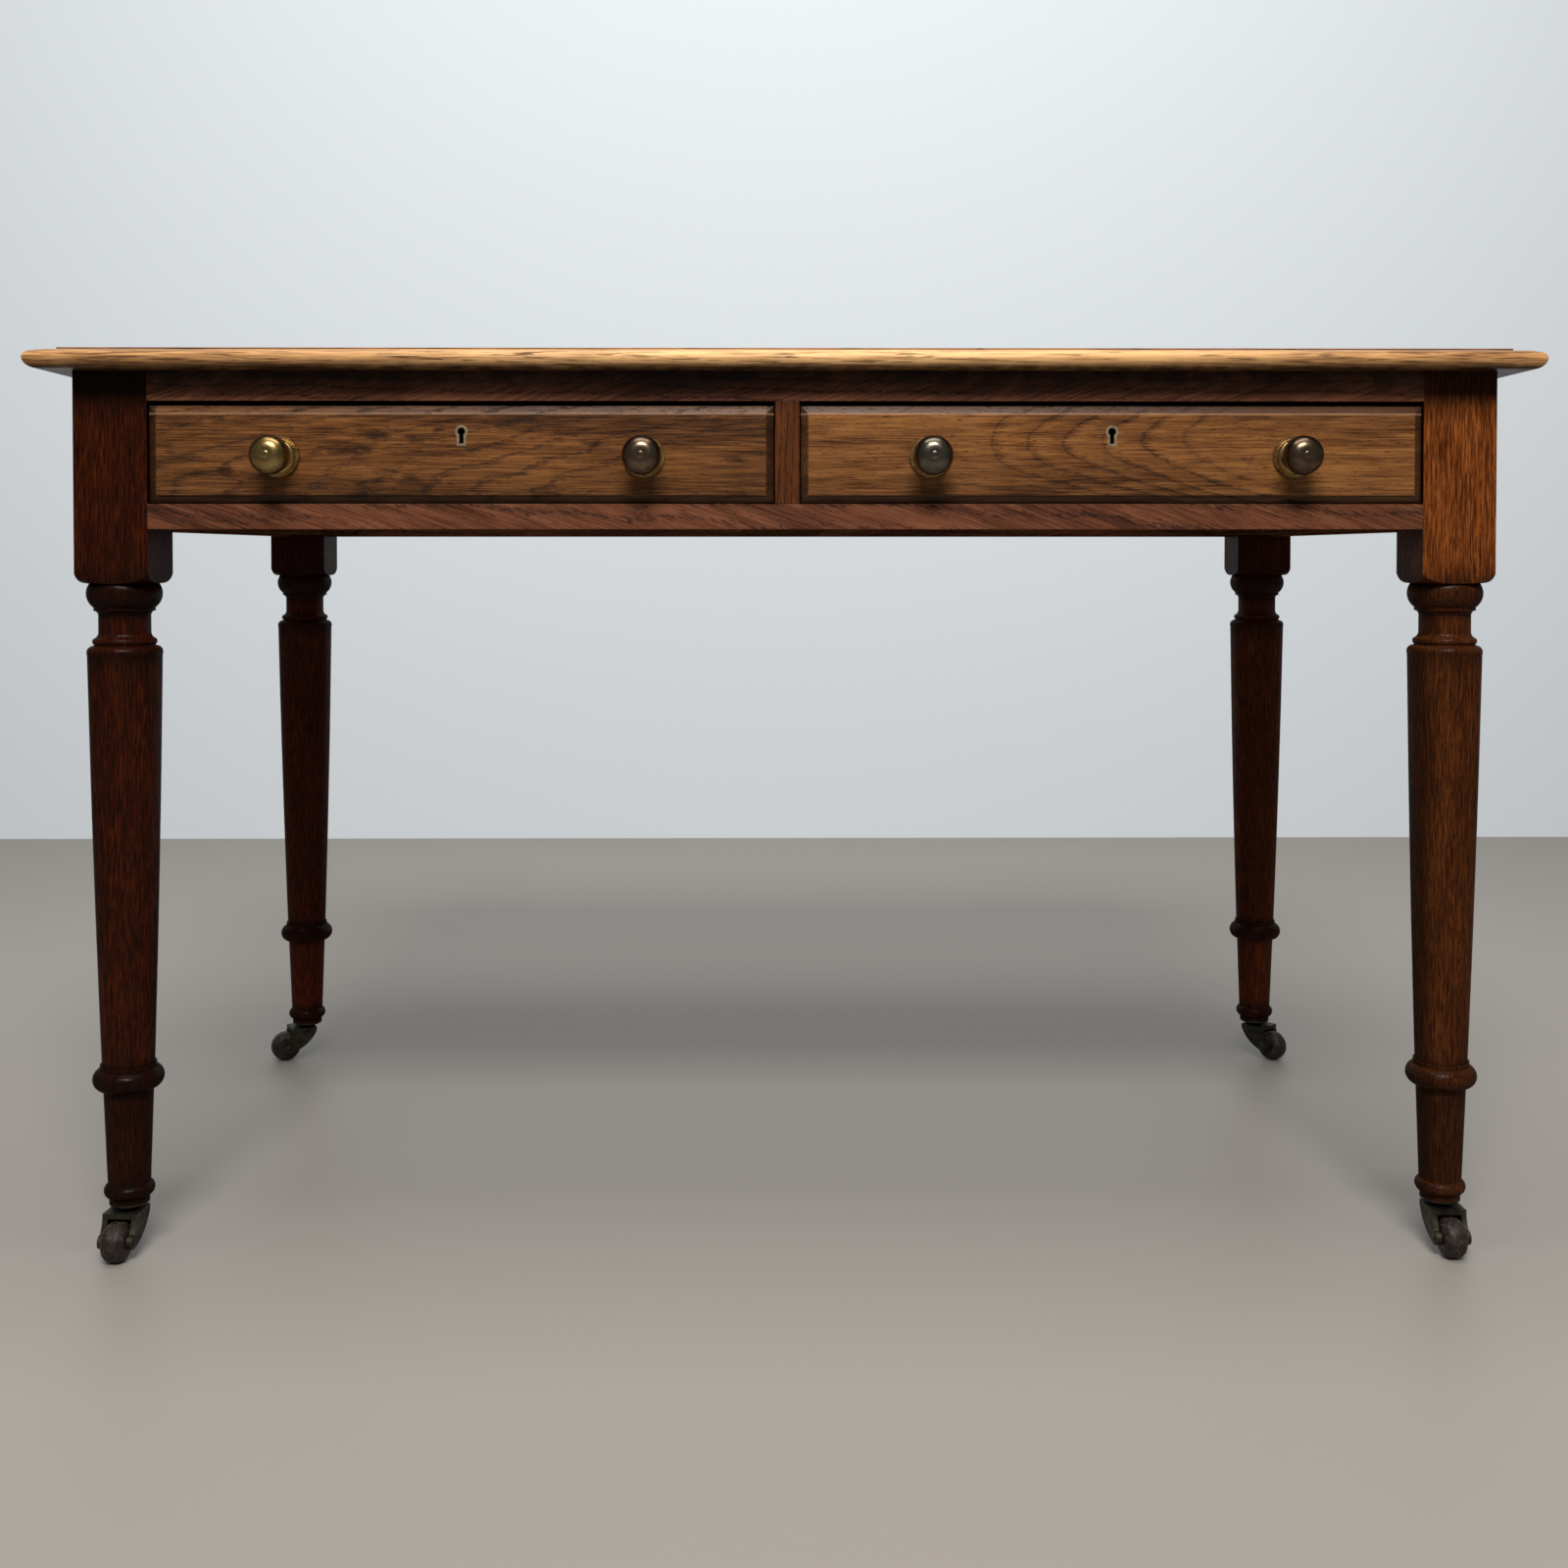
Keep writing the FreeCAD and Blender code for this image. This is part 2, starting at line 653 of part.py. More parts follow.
back_rail = new_body("back_rail", 0, apron_y, rail_bottom)
add_box(back_rail, "back_rail_board", (-inner_x, inner_x), (0, apron_thickness), (0, apron_height))
add_box(back_rail, "back_rail_tenons", (-inner_x - tenon_length, inner_x + tenon_length), apron_cheeks,
        apron_tenon_height)
stub_way_back = (-overrun, stub_length + fit_gap)
cut_stub_mortises(back_rail, "back_rail_runner", stub_way_back, runner_middle - rail_bottom)
cut_stub_mortises(back_rail, "back_rail_kicker", stub_way_back, kicker_middle - rail_bottom)

for name, side in (("left", -1), ("right", 1)):
    label = name + "_side_rail"
    side_rail = new_body(label, side * (apron_x + apron_thickness / 2), 0, rail_bottom)
    add_box(side_rail, label + "_board", (-apron_thickness / 2, apron_thickness / 2), (-inner_y, inner_y),
            (0, apron_height))
    add_box(side_rail, label + "_tenons", (-tenon_thickness / 2, tenon_thickness / 2),
            (-inner_y - tenon_length, inner_y + tenon_length), apron_tenon_height)


# Runners with their guides, and kickers

runner_along = (rail_back_y, apron_y)
stub_along = (rail_back_y - stub_length, apron_y + stub_length)
stub_height = (-stub_thickness / 2, stub_thickness / 2)

for name, left, right in runner_spans():
    runner = new_body(name + "_runner", 0, 0, runner_middle)
    thick = (-runner_thickness / 2, runner_thickness / 2)
    add_box(runner, name + "_runner_strip", (left, right), runner_along, thick)
    add_box(runner, name + "_runner_stubs", (left, right), stub_along, stub_height)
    guide = (-runner_thickness / 2, runner_thickness / 2 + guide_height)
    if name == "centre":
        add_box(runner, "centre_guide", (-muntin_width / 2, muntin_width / 2), runner_along, guide)
    else:
        outer = (-apron_x, -inner_x) if name == "left" else (inner_x, apron_x)
        add_box(runner, name + "_guide", outer, (-inner_y, inner_y), guide)

for (name, left, right), place in zip(runner_spans(), kicker_places):
    kicker = new_body(name + "_kicker", 0, 0, kicker_middle)
    low = -top_rail_height / 2
    high = top_rail_height / 2
    add_box(kicker, name + "_kicker_strip", (left, right), runner_along, (low, high))
    add_box(kicker, name + "_kicker_stubs", (left, right), stub_along, stub_height)
    for row, y in enumerate((-board_width, 0, board_width)):
        sink = Ring(place, y, screw_head_radius + fit_gap)
        hole = Ring(place, y, screw_radius + fit_gap)
        cut_prism(kicker, "%s_kicker_sink_%d" % (name, row), "XY", [sink], low - overrun, low + screw_sink)
        cut_prism(kicker, "%s_kicker_hole_%d" % (name, row), "XY", [hole], low - overrun, high + overrun)

stops = []
for name, centre in (("left", -drawer_x), ("right", drawer_x)):
    for way, sign in (("left", -1), ("right", 1)):
        middle = centre + sign * (drawer_half - stop_inset)
        stops.append(primitive("Box", "%s_stop_%s" % (name, way),
                               (middle - stop_width / 2, front_y + front_thickness, runner_top),
                               Length=stop_width, Width=stop_length, Height=stop_height))
group("drawer_stops", stops)

top_screws = []
for column, x in enumerate(kicker_places):
    for row, y in enumerate((-board_width, 0, board_width)):
        name = "top_screw_%d_%d" % (column, row)
        seat = opening_top + screw_sink - screw_head_height
        head = primitive("Cylinder", name + "_head", (x, y, seat), Radius=screw_head_radius,
                         Height=screw_head_height)
        shank = primitive("Cylinder", name + "_shank", (x, y, seat), Radius=screw_radius,
                          Height=underside + screw_grip - seat)
        screw = doc.addObject("Part::Fuse", name)
        screw.Base = head
        screw.Tool = shank
        top_screws.append(screw)
group("top_screws", top_screws)


# Drawers

def dovetail(root, tip, low, high):
    """Corners of one dovetail between two heights, wider at its tip than at its root."""
    return [(root, low + tail_flare), (tip, low), (tip, high), (root, high - tail_flare)]


def tail_spans(low, high, count):
    """Heights of evenly spaced tails between two edges."""
    tail = tail_neck + 2 * tail_flare
    step = (high - low - 2 * tail_inset - tail) / (count - 1)
    starts = [low + tail_inset + step * number for number in range(count)]
    return [(start, start + tail) for start in starts]


back_low = bottom_rise + bottom_thickness
back_top = back_low + back_height
front_tails = tail_spans(front_lift, side_height, 3)
back_tails = tail_spans(back_low, back_top, 2)


def keyhole(radius, slot_width, drop):
    """Keyhole outline: a round head with a straight slot below it."""
    half_slot = slot_width / 2
    sink = radius * math.sqrt(1 - (half_slot.value / radius.value) ** 2)
    return [(half_slot, key_rise - drop), (half_slot, key_rise - sink),
            (-half_slot, key_rise - sink, radius + sink), (-half_slot, key_rise - drop)]


def drawer(name, side):
    """All pieces of one drawer; its own origin is at the middle of its front, on the runners."""
    place = (side * drawer_x, front_y, runner_top)
    half = drawer_half
    inner_half = half - side_thickness

    label = name + "_drawer_front"
    front = new_body(label, *place)
    face = rectangle(-half, half, front_lift, front_top)
    field = rectangle(bevel_width - half, half - bevel_width,
                      front_lift + bevel_width, front_top - bevel_width)
    add_prism(front, label + "_board", "XZ", [face], bevel_depth, front_thickness)
    bevel = front.newObject("PartDesign::AdditiveLoft", label + "_bevel")
    bevel.Profile = draw(front, label + "_bevel_foot", "XZ", [face], -bevel_depth)
    bevel.Sections = [draw(front, label + "_bevel_head", "XZ", [field], -field_step)]
    bevel.Ruled = True
    add_prism(front, label + "_field", "XZ", [field], 0, field_step)
    sockets = [dovetail(front_thickness + overrun, front_lap - fit_gap, low - fit_gap, high + fit_gap)
               for low, high in front_tails]
    cut_prism(front, label + "_left_sockets", "YZ", sockets, -half - overrun, -inner_half)
    cut_prism(front, label + "_right_sockets", "YZ", sockets, inner_half, half + overrun)
    groove_half = inner_half + groove_depth
    cut_box(front, label + "_groove", (-groove_half, groove_half),
            (front_thickness - groove_depth - fit_gap, front_thickness + overrun),
            (bottom_rise - fit_gap, bottom_rise + bottom_thickness + fit_gap))
    cut_box(front, label + "_lock_recess", (-lock_width / 2 - fit_gap, lock_width / 2 + fit_gap),
            (front_thickness - lock_depth, front_thickness + overrun),
            (front_top - lock_height - fit_gap, front_top + overrun))
    plate_half = lock_width / 2 + lock_plate_margin
    plate_low = front_top - lock_height - lock_plate_margin
    cut_box(front, label + "_lock_plate_recess", (-plate_half - fit_gap, plate_half + fit_gap),
            (front_thickness - lock_plate_thickness, front_thickness + overrun),
            (plate_low - fit_gap, front_top + overrun))
    cut_prism(front, label + "_keyhole", "XZ", [keyhole(key_radius, key_slot_width, key_drop)],
              -overrun, front_thickness)
    outer = keyhole(key_radius + escutcheon_wall, key_slot_width + 2 * escutcheon_wall,
                    key_drop + escutcheon_wall)
    cut_prism(front, label + "_escutcheon_recess", "XZ", [outer], -overrun, escutcheon_depth)
    knob_holes = [Ring(sign * knob_spread, knob_rise, shank_radius + running_gap) for sign in (-1, 1)]
    cut_prism(front, label + "_knob_holes", "XZ", knob_holes, -overrun, shank_length)
    screw_places = [(sign * (plate_half - lock_plate_margin / 2), height) for sign in (-1, 1)
                    for height in (plate_low + lock_plate_margin / 2, front_top - lock_plate_margin)]
    screw_holes = [Ring(x, z, lock_screw_radius) for x, z in screw_places]
    cut_prism(front, label + "_lock_screw_holes", "XZ", screw_holes,
              front_thickness - lock_screw_length, front_thickness + overrun)

    outline = [(front_thickness, 0), (drawer_length - back_thickness, 0)]
    for low, high in back_tails:
        outline += dovetail(drawer_length - back_thickness, drawer_length, low, high)
    outline += [(drawer_length - back_thickness, side_height), (front_thickness, side_height)]
    for low, high in front_tails[::-1]:
        outline += dovetail(front_thickness, front_lap, low, high)[::-1]
    for way, low, high in (("left", -half, -inner_half), ("right", inner_half, half)):
        label = "%s_drawer_%s_side" % (name, way)
        board = new_body(label, *place)
        add_prism(board, label + "_board", "YZ", [outline], low, high)
        groove = (-groove_half, -inner_half) if way == "left" else (inner_half, groove_half)
        cut_box(board, label + "_groove", groove, (0, drawer_length + overrun),
                (bottom_rise - fit_gap, bottom_rise + bottom_thickness + fit_gap))

    label = name + "_drawer_back"
    board = new_body(label, *place)
    back_way = (drawer_length - back_thickness, drawer_length)
    add_box(board, label + "_board", (-half, half), back_way, (back_low + fit_gap, back_top))
    sockets = [dovetail(*back_way, low - fit_gap, high + fit_gap) for low, high in back_tails]
    cut_prism(board, label + "_left_sockets", "YZ", sockets, -half - overrun, -inner_half)
    cut_prism(board, label + "_right_sockets", "YZ", sockets, inner_half, half + overrun)

    board = new_body(name + "_drawer_bottom", *place)
    add_box(board, name + "_drawer_bottom_board", (fit_gap - groove_half, groove_half - fit_gap),
            (front_thickness - groove_depth, drawer_length), (bottom_rise, bottom_rise + bottom_thickness))

    for way, sign in (("left", -1), ("right", 1)):
        knob("%s_drawer_%s_knob" % (name, way), side * drawer_x + sign * knob_spread)

    label = name + "_drawer_escutcheon"
    ring = new_body(label, *place)
    add_prism(ring, label + "_rim", "XZ", [outer], 0, escutcheon_depth)
    cut_prism(ring, label + "_hole", "XZ", [keyhole(key_radius, key_slot_width, key_drop)],
              -overrun, escutcheon_depth + overrun)

    label = name + "_drawer_lock_case"
    case = new_body(label, *place)
    add_box(case, label + "_block", (-lock_width / 2, lock_width / 2),
            (front_thickness - lock_depth, front_thickness), (front_top - lock_height, front_top))
    add_box(case, label + "_plate", (-plate_half, plate_half),
            (front_thickness - lock_plate_thickness, front_thickness), (plate_low, front_top))
    cut_box(case, label + "_bolt_way", (-bolt_width / 2 - bolt_gap, bolt_width / 2 + bolt_gap),
            (bolt_low - bolt_gap, bolt_high + bolt_gap),
            (front_top - bolt_length - bolt_gap, front_top + overrun))
    cut_prism(case, label + "_keyhole", "XZ", [keyhole(key_radius, key_slot_width, key_drop)],
              front_thickness - lock_depth - overrun, bolt_high)
    add_prism(case, label + "_pin", "XZ", [Ring(0, key_rise, key_pin_radius)],
              bolt_high - key_pin_length, bolt_high)
    cut_prism(case, label + "_screw_holes", "XZ", screw_holes,
              front_thickness - lock_plate_thickness - overrun, front_thickness + overrun)

    bolt = new_body(name + "_drawer_lock_bolt", *place)
    add_box(bolt, name + "_drawer_lock_bolt_bar", (-bolt_width / 2, bolt_width / 2), (bolt_low, bolt_high),
            (front_top - bolt_length, front_top))

    into_front = FreeCAD.Rotation(FreeCAD.Vector(1, 0, 0), 90)
    screws = [primitive("Cylinder", "%s_lock_screw_%d" % (name, number),
                        (place[0] + x, front_y + front_thickness, runner_top + z), into_front,
                        Radius=lock_screw_radius, Height=lock_screw_length)
              for number, (x, z) in enumerate(screw_places)]
    group(name + "_drawer_lock_screws", screws)


def knob(label, x):
    """A turned brass knob whose back bears on the drawer front."""
    body = new_body(label, x, front_y, runner_top + knob_rise)
    neck_front = rose_depth + knob_neck_length
    widest = neck_front + ball_back_depth
    tip = neck_front + ball_depth
    profile = [
        (shank_length, 0), (shank_length, shank_radius), (0, shank_radius), (0, rose_radius),
        (-rose_rim, rose_radius), (-rose_rim, rose_ring_radius),
        (-rose_depth, rose_ring_radius, rose_rim / 2),
        (-rose_depth, knob_neck_radius), (-neck_front, knob_neck_radius), (-neck_front, ball_back_radius),
        (-widest, ball_radius, ball_back_bulge), (-tip, pip_radius, ball_front_bulge),
        (-tip - pip_rise, pip_top_radius), (-tip - pip_rise, 0)]
    turn(body, label + "_turning", "YZ", "H_Axis", profile)


drawer("left", -1)
drawer("right", 1)


# Castors

def castor(name, side, face, angle):
    """Plate, horn, axle and wheel of one castor; their shared origin is the swivel axis on the floor."""
    place = (side * leg_x, face * leg_y, 0)
    plate_low = castor_height - plate_thickness
    socket_radius = pintle_radius + running_gap
    socket_top = plate_low + pintle_length + fit_gap

    label = name + "_castor_plate"
    plate = new_body(label, *place, angle)
    turn(plate, label + "_turning", "XZ", "V_Axis", [
        (socket_radius, plate_low), (plate_low_radius, plate_low),
        (foot_radius, castor_height - plate_rim, plate_bulge), (foot_radius, castor_height),
        (stem_radius, castor_height), (stem_radius, castor_height + stem_length),
        (0, castor_height + stem_length), (0, socket_top), (socket_radius, socket_top)])

    label = name + "_castor_horn"
    horn = new_body(label, *place, angle)
    fork_half = fork_width / 2
    arm = [(crown_back, crown_top), (-crown_front, crown_top), (-crown_front, crown_bottom),
           (-trail - boss_radius, wheel_radius, -arm_hollow), (-trail, wheel_radius - boss_radius),
           (crown_back, crown_bottom, arm_bow)]
    add_prism(horn, label + "_arms", "YZ", [arm], -fork_half, fork_half)
    add_prism(horn, label + "_bosses", "YZ", [Ring(-trail, wheel_radius, boss_radius)],
              -fork_half, fork_half)
    slot_half = wheel_width / 2 + wheel_gap
    web_front = wheel_radius + web_gap - trail
    cut_box(horn, label + "_slot", (-slot_half, slot_half),
            (-trail - boss_radius - overrun, web_front), (0, crown_bottom))
    turn(horn, label + "_pintle", "XZ", "V_Axis", [
        (0, crown_bottom), (horn_neck_radius, crown_bottom), (horn_neck_radius, plate_low),
        (pintle_radius, plate_low), (pintle_radius, plate_low + pintle_length),
        (0, plate_low + pintle_length)])
    cut_prism(horn, label + "_axle_hole", "YZ", [Ring(-trail, wheel_radius, pin_radius + running_gap)],
              -fork_half - overrun, fork_half + overrun)

    label = name + "_castor_axle"
    axle = new_body(label, *place, angle)
    end = fork_half + pin_head_depth
    turn(axle, label + "_turning", "XZ", "H_Axis", [
        (-end, 0), (end, 0), (fork_half, pin_head_radius), (fork_half, pin_radius),
        (-fork_half, pin_radius), (-fork_half, pin_head_radius)], "Revolution", trail, (0, wheel_radius))

    label = name + "_castor_wheel"
    wheel = new_body(label, *place, angle)
    half = wheel_width / 2
    bore = pin_radius + running_gap
    turn(wheel, label + "_turning", "XZ", "H_Axis", [
        (-half, bore), (half, bore), (half, wheel_side_radius), (wheel_crown, wheel_radius, wheel_round),
        (-wheel_crown, wheel_radius), (-half, wheel_side_radius, wheel_round)],
        "Revolution", trail, (0, wheel_radius))


for corner_name, side, face, angle in corners:
    castor(corner_name, side, face, angle)

doc.recompute()


# Checks and export

def check(piece):
    """Stop the build at a piece that failed, or at a cut that took nothing away."""
    shape = piece.Shape
    if shape.isNull() or not shape.isValid():
        raise RuntimeError("%s has no valid shape" % piece.Label)
    features = [item for item in getattr(piece, "Group", []) if item.isDerivedFrom("PartDesign::Feature")]
    for before, after in zip(features, features[1:]):
        gained = after.Shape.Volume - before.Shape.Volume
        takes_away = after.TypeId in ("PartDesign::Pocket", "PartDesign::Groove")
        if gained >= 0 if takes_away else gained <= 0:
            raise RuntimeError("%s changes nothing" % after.Label)


for item in doc.Objects:
    if "Invalid" in item.State or "Error" in item.State:
        raise RuntimeError("%s is in state %s" % (item.Label, item.State))
os.makedirs("parts", exist_ok=True)
for piece in pieces:
    check(piece)
    piece.Shape.exportStep(os.path.join("parts", piece.Label + ".step"))
print(len(pieces), "sub-parts written")
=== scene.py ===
import math
import bpy
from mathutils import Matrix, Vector


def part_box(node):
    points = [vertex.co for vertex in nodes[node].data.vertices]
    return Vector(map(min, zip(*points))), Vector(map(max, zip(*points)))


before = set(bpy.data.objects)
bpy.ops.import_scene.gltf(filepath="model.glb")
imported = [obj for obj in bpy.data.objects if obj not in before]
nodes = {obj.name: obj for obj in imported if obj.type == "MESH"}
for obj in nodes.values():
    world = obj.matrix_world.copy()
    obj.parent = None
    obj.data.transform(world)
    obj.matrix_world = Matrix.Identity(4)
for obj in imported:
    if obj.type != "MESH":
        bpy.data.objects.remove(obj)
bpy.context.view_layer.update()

# The viewer stands in front of the table with the eye a little below the top,
# so the top shows only its moulded edge and the legs stand nearly upright.
scene = bpy.context.scene
scene.view_settings.view_transform = "Standard"
eye = bpy.data.cameras.new("eye")
eye.sensor_width = 36
eye.lens = 39.96
eye.shift_y = -0.1213
viewer = bpy.data.objects.new("viewer", eye)
viewer.location = (-0.0149, -1.728, 0.5827)
viewer.rotation_euler = (math.radians(88.71), 0, -0.0086)
scene.collection.objects.link(viewer)
scene.camera = viewer


# The room is a plain pale floor and a plain white wall behind the table. Both are seen from the table's
# side only, so that it can be looked at from behind and from below too.
class Finish:
    """A material under construction: each method adds a node and gives back its output."""

    def __init__(self, name):
        self.material = bpy.data.materials.new(name)
        self.material.use_nodes = True
        self.tree = self.material.node_tree
        self.shader = self.tree.nodes["Principled BSDF"]

    def feed(self, socket, value):
        if isinstance(value, bpy.types.NodeSocket):
            self.tree.links.new(value, socket)
        else:
            socket.default_value = value

    def add(self, kind, inputs, **settings):
        node = self.tree.nodes.new("ShaderNode" + kind)
        for name, value in settings.items():
            setattr(node, name, value)
        for name, value in inputs.items():
            self.feed(node.inputs[name], value)
        return node

    def set(self, **values):
        """Set or link sockets of the shader itself, named with underscores for spaces."""
        for name, value in values.items():
            self.feed(self.shader.inputs[name.replace("_", " ")], value)

    def sum(self, operation, first, second=0.0):
        return self.add("Math", {0: first, 1: second}, operation=operation).outputs[0]

    def stretch(self, point, scale, shift=(0, 0, 0)):
        return self.add("Mapping", {"Vector": point, "Scale": scale, "Location": shift}).outputs[0]

    def noise(self, point, detail):
        return self.add("TexNoise", {"Vector": point, "Detail": detail, "Scale": 1.0}).outputs["Fac"]

    def level(self, value, low, high, start=0.0, end=1.0):
        """Bring a value from its range low to high into start to end, held at both ends."""
        sockets = {"Value": value, "From Min": low, "From Max": high, "To Min": start, "To Max": end}
        return self.add("MapRange", sockets).outputs[0]

    def blend(self, share, first, second, way="MIX"):
        mixer = self.add("Mix", {0: share, 6: first, 7: second}, data_type="RGBA", blend_type=way)
        return mixer.outputs[2]

    def ramp(self, value, stops):
        """Colour along a value; stops are pairs of place and colour."""
        node = self.add("ValToRGB", {0: value})
        marks = node.color_ramp.elements
        while len(marks) < len(stops):
            marks.new(1.0)
        for mark, (place, colour) in zip(marks, stops):
            mark.position = place
            mark.color = colour
        return node.outputs[0]

    def lay(self, share, colour, way="MIX"):
        """Lay a colour over the base colour, by a share."""
        under = self.shader.inputs["Base Color"].links[0].from_socket
        self.set(Base_Color=self.blend(share, under, colour, way))

    def bump(self, height, depth):
        self.set(Normal=self.add("Bump", {"Height": height, "Distance": depth}).outputs[0])

    def clear_behind(self):
        """Let the back of a surface be looked through."""
        behind = self.add("NewGeometry", {}).outputs["Backfacing"]
        clear = self.add("BsdfTransparent", {}).outputs[0]
        one_way = self.add("MixShader", {0: behind, 1: self.shader.outputs[0], 2: clear}).outputs[0]
        self.feed(self.tree.nodes["Material Output"].inputs[0], one_way)


def tone(red, green, blue):
    """A colour as the eye reads it, 0 to 255, turned into light."""
    shares = [value / 255 for value in (red, green, blue)]
    return (*[((share + 0.055) / 1.055) ** 2.4 for share in shares], 1.0)


def plane(name, corners):
    mesh = bpy.data.meshes.new(name)
    mesh.from_pydata(corners, [], [(0, 1, 2, 3)])
    thing = bpy.data.objects.new(name, mesh)
    scene.collection.objects.link(thing)
    return thing


wall_y = 1.84
room_half = 6.0
room_front = -6.0
wall_height = 5.0
floor = plane("floor", [(-room_half, room_front, 0), (room_half, room_front, 0),
                        (room_half, wall_y, 0), (-room_half, wall_y, 0)])
floor_finish = Finish("pale_floor")
floor_finish.set(Base_Color=tone(142, 136, 129), Roughness=0.5)
floor_finish.clear_behind()
floor.data.materials.append(floor_finish.material)

wall = plane("wall", [(-room_half, wall_y, 0), (room_half, wall_y, 0),
                      (room_half, wall_y, wall_height), (-room_half, wall_y, wall_height)])
wall_finish = Finish("white_wall")
wall_finish.set(Base_Color=tone(213, 220, 226), Roughness=0.8)
wall_finish.clear_behind()
wall.data.materials.append(wall_finish.material)

# Soft studio light: one broad lamp high up in front of the table, one above it for the top's edge,
# and an even pale world all round.
world = bpy.data.worlds.new("studio")
world.use_nodes = True
world.node_tree.nodes["Background"].inputs["Color"].default_value = (0.93, 0.96, 1.0, 1)
world.node_tree.nodes["Background"].inputs["Strength"].default_value = 0.2
scene.world = world


def lamp(name, place, aim, width, height, power, colour):
    light = bpy.data.lights.new(name, "AREA")
    light.shape = "RECTANGLE"
    light.size = width
    light.size_y = height
    light.energy = power
    light.color = colour
    holder = bpy.data.objects.new(name, light)
    holder.location = place
    holder.rotation_euler = (Vector(aim) - Vector(place)).to_track_quat("-Z", "Y").to_euler()
    scene.collection.objects.link(holder)


lamp("front_lamp", place=(0.0, -3.1, 3.4), aim=(0.0, -0.2, 0.5), width=1.8, height=1.0, power=190,
     colour=(1.0, 0.98, 0.95))
lamp("top_lamp", place=(0.0, -0.3, 3.2), aim=(0.0, 0.3, 0.5), width=2.4, height=1.4, power=60,
     colour=(1.0, 0.98, 0.96))

# The legs are turned from squared oak: a block at the top for the rails' mortises, then bead, neck,
# tapered shaft, collar, ankle and foot. They are stained dark and waxed, and black in their quirks with
# dirt and painted shade.
grain_orders = {"X": ("X", "Z", "Y"), "Y": ("Y", "X", "Z"), "Z": ("Z", "X", "Y")}
waver_size = (0.12, 0.03)
ring_break_size = (0.2, 0.05)
streak_size = (0.08, 0.006)
cloud_size = (0.3, 0.05)
stain_size = (0.035, 0.014)
arch_fade = 0.05
crease_reach = 0.01
grain_depth = 0.0004
pore_black = tone(18, 8, 4)
# Near-black laid both for dirt and for painted shade.
dirt_and_shade_black = tone(14, 6, 3)


